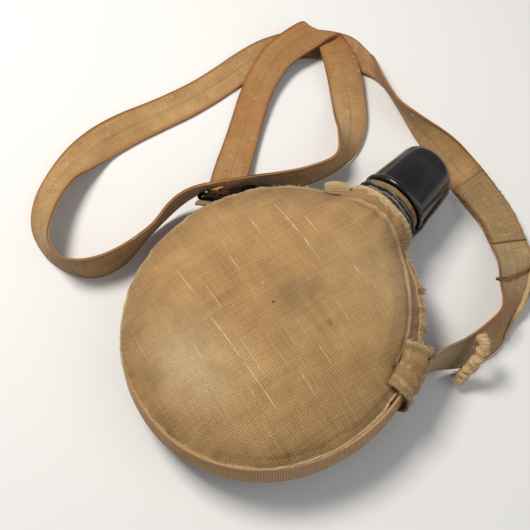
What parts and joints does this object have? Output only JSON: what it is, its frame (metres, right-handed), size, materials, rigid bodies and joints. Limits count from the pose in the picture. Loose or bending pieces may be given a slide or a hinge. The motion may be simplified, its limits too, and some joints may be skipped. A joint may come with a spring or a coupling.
{
  "type": "water canteen with cover and shoulder strap",
  "caption": "Round flat metal water canteen in a sewn canvas cover, with a black screw cap on a threaded neck and a long webbing shoulder strap lying free",
  "frame": {"origin": "centre of the bounding box of the canteen (free strap left out) on the plane it lies on", "axes": "+X to the keeper side, +Y along the neck to the cap, +Z out of the front face"},
  "size_m": [0.3383, 0.3472, 0.064],
  "materials": {
    "canvas": "coarse plain-weave cotton duck, worn, slubbed",
    "webbing": "ribbed cotton webbing, stained",
    "aluminium": "spun and pressed sheet, bare",
    "cap_black": "moulded black thermoset, glossy with scuffs",
    "blackened_steel": "black enamelled steel worn to bright at the edges",
    "old_leather": "dry dark leather, creased",
    "rusty_wire": "copper-brown tarnished wire",
    "felt": "compressed felt and cork"
  },
  "bodies": {
    "canteen": {"bottle_front_shell": "aluminium", "bottle_back_shell": "aluminium", "threaded_neck": "aluminium", "cover_front_panel": "canvas", "cover_back_panel": "canvas", "cover_gusset": "canvas", "front_seam_edge": "canvas", "back_seam_edge": "canvas", "neck_opening_hem": "canvas", "edge_webbing": "webbing", "keeper_loop": "canvas", "ring_tab": "webbing", "hook_bracket": "blackened_steel", "neck_collar": "old_leather", "neck_washer": "felt", "opening_flap": "canvas", "shoulder_strap": "webbing", "strap_lower_end": "webbing", "strap_doubled_end": "webbing", "strap_frayed_end": "webbing"},
    "cap_seal": {"cap_seal_disc": "felt", "cap_stud": "blackened_steel", "retaining_strap": "old_leather"},
    "cap": {"screw_cap": "cap_black"},
    "ring": {"steel_ring": "blackened_steel"},
    "hook": {"steel_hook": "blackened_steel"},
    "wire": {"wire_slide": "rusty_wire"}
  },
  "joints": [
    {"name": "cap_lift", "type": "slide", "parent": "canteen", "child": "cap_seal", "axis": [0, 1, 0], "range_m": [0, 0.0152]},
    {"name": "cap_turn", "type": "hinge", "parent": "cap_seal", "child": "cap", "pos_m": [0.00622, 0.08631, 0.031], "axis": [0, -1, 0], "range_deg": [0, 1080]},
    {"name": "ring_swing", "type": "hinge", "parent": "canteen", "child": "ring", "pos_m": [-0.08798, 0.00581, 0.027], "axis": [0.8147, 0.5798, 0], "range_deg": [-25, 0]},
    {"name": "hook_swing", "type": "hinge", "parent": "canteen", "child": "hook", "pos_m": [-0.06228, 0.04231, 0.031], "axis": [0.6919, -0.722, 0], "range_deg": [-4, 10]},
    {"name": "wire_shift", "type": "slide", "parent": "canteen", "child": "wire", "axis": [0.6448, -0.7562, 0.1114], "range_m": [-0.005, 0]}
  ],
  "couplings": [
    {"joint": "cap_lift", "follows": "cap_turn", "m_per_rad": 0.00079577}
  ]
}
